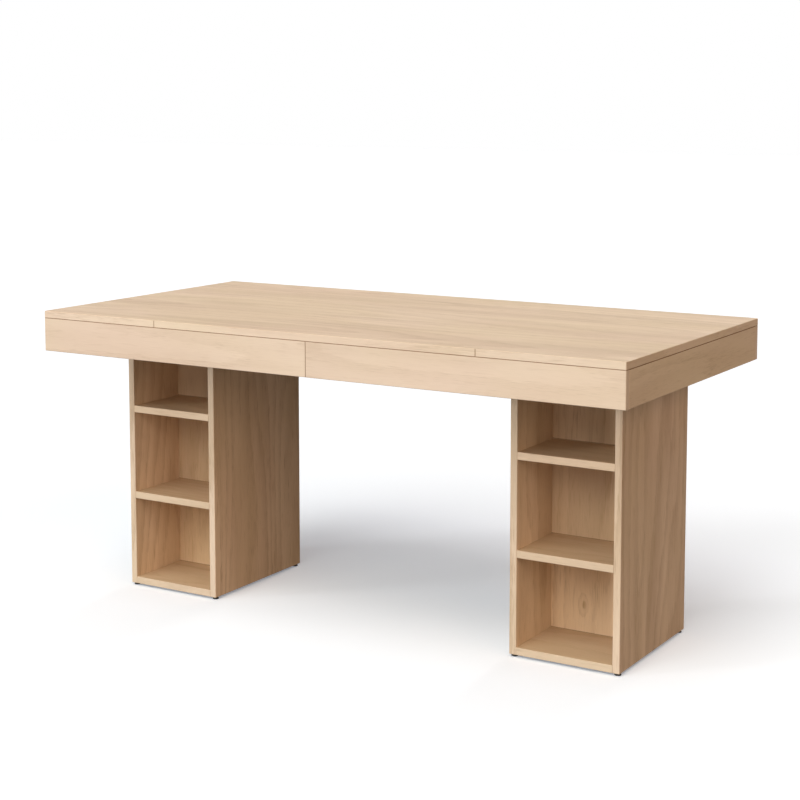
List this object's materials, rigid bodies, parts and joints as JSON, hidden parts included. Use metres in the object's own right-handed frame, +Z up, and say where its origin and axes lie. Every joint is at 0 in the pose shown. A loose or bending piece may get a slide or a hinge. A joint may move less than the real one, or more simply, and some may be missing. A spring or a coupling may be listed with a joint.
{
  "type": "kitchen table",
  "caption": "Rectangular kitchen table with a deep apron round its top, carried at each end by an open shelf pedestal on levelling feet.",
  "frame": {"origin": "on the floor, under the middle of the table top", "axes": "+Z up, +X along the table's length to the right, -Y to the side shown as the front"},
  "size_m": [1.6, 0.8, 0.75],
  "materials": {
    "top_boards": "light oak grain foil, matt, grain along the table",
    "apron_boards": "light oak grain foil, matt, grain along the board",
    "pedestal_boards": "light oak grain foil, matt, grain upright on the sides and dividers",
    "under_frame_boards": "light oak grain foil, sawn edges",
    "zinc_steel": "bright zinc plate",
    "foot_plastic": "black moulded plastic"
  },
  "bodies": {
    "table": {"top_panel_left": "top_boards", "top_panel_middle": "top_boards", "top_panel_right": "top_boards", "apron_front_left": "apron_boards", "apron_front_right": "apron_boards", "apron_rear_left": "apron_boards", "apron_rear_right": "apron_boards", "apron_end_left": "apron_boards", "apron_end_right": "apron_boards", "cross_rail": "under_frame_boards", "bearer_front_left": "under_frame_boards", "bearer_front_right": "under_frame_boards", "bearer_rear_left": "under_frame_boards", "bearer_rear_right": "under_frame_boards", "left_pedestal_bottom": "pedestal_boards", "left_pedestal_top": "pedestal_boards", "left_pedestal_outer_side": "pedestal_boards", "left_pedestal_inner_side": "pedestal_boards", "left_pedestal_lower_shelf": "pedestal_boards", "left_pedestal_upper_shelf": "pedestal_boards", "left_pedestal_lower_divider": "pedestal_boards", "left_pedestal_middle_divider": "pedestal_boards", "left_pedestal_upper_divider": "pedestal_boards", "right_pedestal_bottom": "pedestal_boards", "right_pedestal_top": "pedestal_boards", "right_pedestal_outer_side": "pedestal_boards", "right_pedestal_inner_side": "pedestal_boards", "right_pedestal_lower_shelf": "pedestal_boards", "right_pedestal_upper_shelf": "pedestal_boards", "right_pedestal_lower_divider": "pedestal_boards", "right_pedestal_middle_divider": "pedestal_boards", "right_pedestal_upper_divider": "pedestal_boards", "foot_inserts": "zinc_steel", "pedestal_bolts": "zinc_steel", "corner_brackets": "zinc_steel", "top_brackets": "zinc_steel"},
    "left_front_outer_foot": {"left_front_outer_foot": "foot_plastic"},
    "left_front_inner_foot": {"left_front_inner_foot": "foot_plastic"},
    "left_rear_outer_foot": {"left_rear_outer_foot": "foot_plastic"},
    "left_rear_inner_foot": {"left_rear_inner_foot": "foot_plastic"},
    "right_front_outer_foot": {"right_front_outer_foot": "foot_plastic"},
    "right_front_inner_foot": {"right_front_inner_foot": "foot_plastic"},
    "right_rear_outer_foot": {"right_rear_outer_foot": "foot_plastic"},
    "right_rear_inner_foot": {"right_rear_inner_foot": "foot_plastic"}
  },
  "joints": [
    {"name": "left_front_outer_foot_screw", "type": "slide", "parent": "table", "child": "left_front_outer_foot", "axis": [0, 0, -1], "range_m": [0, 0.008]},
    {"name": "left_front_inner_foot_screw", "type": "slide", "parent": "table", "child": "left_front_inner_foot", "axis": [0, 0, -1], "range_m": [0, 0.008]},
    {"name": "left_rear_outer_foot_screw", "type": "slide", "parent": "table", "child": "left_rear_outer_foot", "axis": [0, 0, -1], "range_m": [0, 0.008]},
    {"name": "left_rear_inner_foot_screw", "type": "slide", "parent": "table", "child": "left_rear_inner_foot", "axis": [0, 0, -1], "range_m": [0, 0.008]},
    {"name": "right_front_outer_foot_screw", "type": "slide", "parent": "table", "child": "right_front_outer_foot", "axis": [0, 0, -1], "range_m": [0, 0.008]},
    {"name": "right_front_inner_foot_screw", "type": "slide", "parent": "table", "child": "right_front_inner_foot", "axis": [0, 0, -1], "range_m": [0, 0.008]},
    {"name": "right_rear_outer_foot_screw", "type": "slide", "parent": "table", "child": "right_rear_outer_foot", "axis": [0, 0, -1], "range_m": [0, 0.008]},
    {"name": "right_rear_inner_foot_screw", "type": "slide", "parent": "table", "child": "right_rear_inner_foot", "axis": [0, 0, -1], "range_m": [0, 0.008]}
  ]
}
